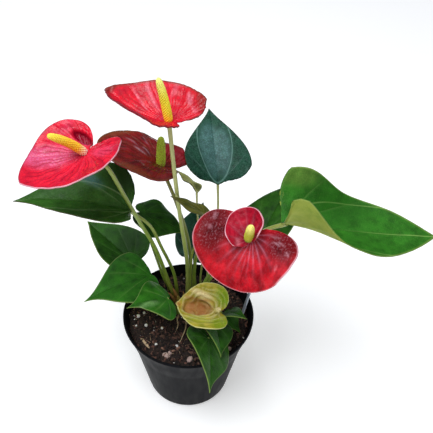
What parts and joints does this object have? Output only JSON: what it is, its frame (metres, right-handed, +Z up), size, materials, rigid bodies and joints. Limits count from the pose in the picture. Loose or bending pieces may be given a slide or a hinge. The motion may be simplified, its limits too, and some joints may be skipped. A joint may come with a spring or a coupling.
{
  "type": "potted flamingo flower",
  "caption": "Potted flamingo flower with glossy red spathes and finger-like spadices above heart-shaped leaves on slim stems, in a round black nursery pot filled with soil.",
  "frame": {"origin": "centre of the flat underside of the pot, on the surface it rests on", "axes": "+Z up; +X to the right and -Y towards the viewer of the picture; the big scooped leaf points to +X"},
  "size_m": [0.296, 0.1912, 0.2881],
  "materials": {
    "crown": "dry",
    "spadix_yellow": "matte",
    "spathe_red": "glossy",
    "stem": "satin",
    "spadix_orange": "matte",
    "spadix_green": "matte",
    "spathe_maroon": "glossy",
    "spathe_crimson": "glossy",
    "spathe_deep_red": "glossy",
    "spadix_brown": "matte",
    "spathe_aged": "satin",
    "leaf_dark": "glossy",
    "leaf_green": "glossy",
    "leaf_olive": "satin",
    "label": "satin",
    "pot": "matte",
    "soil": "crumbly"
  },
  "bodies": {
    "root": {"crown": "crown", "flower_1_spadix": "spadix_yellow", "flower_1_spathe": "spathe_red", "flower_1_stalk": "stem", "flower_2_spadix": "spadix_orange", "flower_2_spathe": "spathe_red", "flower_2_stalk": "stem", "flower_3_spadix": "spadix_green", "flower_3_spathe": "spathe_maroon", "flower_3_stalk": "stem", "flower_4_curled_lobe": "spathe_crimson", "flower_4_spadix": "spadix_yellow", "flower_4_spathe": "spathe_deep_red", "flower_4_stalk": "stem", "flower_5_spadix": "spadix_brown", "flower_5_spathe": "spathe_aged", "flower_5_stalk": "stem", "leaf_01_blade": "leaf_dark", "leaf_01_stem": "stem", "leaf_02_blade": "leaf_green", "leaf_02_stem": "stem", "leaf_03_blade": "leaf_dark", "leaf_03_stem": "stem", "leaf_04_blade": "leaf_dark", "leaf_04_stem": "stem", "leaf_05_blade": "leaf_dark", "leaf_05_stem": "stem", "leaf_06_blade": "leaf_dark", "leaf_06_stem": "stem", "leaf_07_blade": "leaf_green", "leaf_07_stem": "stem", "leaf_08_blade": "leaf_green", "leaf_08_stem": "stem", "leaf_09_blade": "leaf_dark", "leaf_09_stem": "stem", "leaf_10_blade": "leaf_dark", "leaf_10_stem": "stem", "leaf_11_blade": "leaf_dark", "leaf_11_stem": "stem", "leaf_12_blade": "leaf_dark", "leaf_12_stem": "stem", "leaf_13_blade": "leaf_olive", "leaf_13_stem": "stem", "leaf_14_blade": "leaf_olive", "leaf_14_stem": "stem", "leaf_15_blade": "leaf_dark", "leaf_15_stem": "stem", "plant_label": "label", "pot": "pot", "soil": "soil"}
  },
  "joints": []
}
